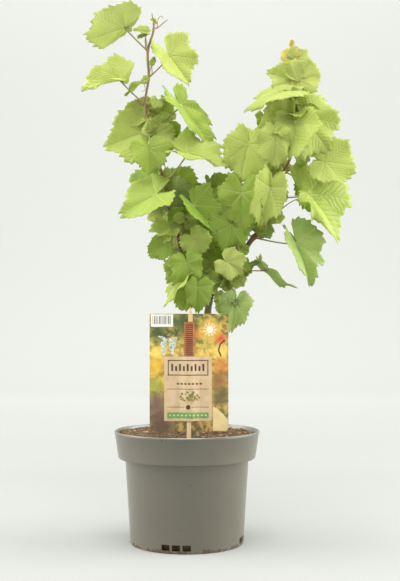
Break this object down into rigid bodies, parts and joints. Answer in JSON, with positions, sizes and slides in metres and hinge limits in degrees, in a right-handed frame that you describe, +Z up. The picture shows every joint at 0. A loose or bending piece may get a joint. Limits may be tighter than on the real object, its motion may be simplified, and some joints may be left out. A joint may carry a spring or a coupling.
{
  "type": "potted grapevine",
  "caption": "Young grapevine in a round nursery pot: a short trunk forks into two leafy shoots above a printed care label on a stick.",
  "frame": {"origin": "centre of the pot's flat underside", "axes": "+Z up, -Y towards the side with the care label, +X to the right as seen from that side"},
  "size_m": [0.33, 0.1728, 0.637],
  "materials": {
    "pot_plastic": "satin grey-green moulded plastic",
    "potting_soil": "rough, moist and crumbly",
    "bark": "rough brown bark",
    "cane": "smooth young shoot",
    "foliage": "soft satin leaf",
    "foliage_shade": "soft satin leaf",
    "card": "printed card",
    "bamboo": "planed bamboo"
  },
  "bodies": {
    "root": {"pot": "pot_plastic", "trunk": "bark", "label_card": "card", "label_stick": "bamboo", "label_sleeve": "card", "soil": "potting_soil", "shoot_left_lower": "cane", "shoot_left_middle": "cane", "shoot_left_upper": "cane", "shoot_right_lower": "cane", "shoot_right_middle": "cane", "shoot_right_upper": "cane", "leaf_left_top": "foliage", "leaf_left_second": "foliage", "leaf_left_hanging": "foliage", "leaf_left_far": "foliage", "leaf_left_broad": "foliage", "leaf_left_inner": "foliage", "leaf_between": "foliage", "leaf_left_large": "foliage", "leaf_left_small": "foliage", "leaf_left_side_upper": "foliage", "leaf_left_side_lower": "foliage", "leaf_left_low": "foliage", "leaf_right_edge": "foliage", "leaf_right_low": "foliage", "leaf_right_big": "foliage", "leaf_right_outer": "foliage", "leaf_right_shelf": "foliage", "leaf_centre": "foliage", "leaf_top_arm": "foliage", "mass_left_inner": "foliage_shade", "mass_foot": "foliage_shade", "mass_heart": "foliage_shade", "mass_middle": "foliage_shade", "mass_low": "foliage_shade", "mass_label_side": "foliage_shade", "mass_right_inner": "foliage_shade", "mass_right_crown": "foliage_shade", "mass_top": "foliage_shade", "mass_back_left": "foliage_shade", "mass_back_low": "foliage_shade", "mass_back_right": "foliage_shade"}
  },
  "joints": []
}
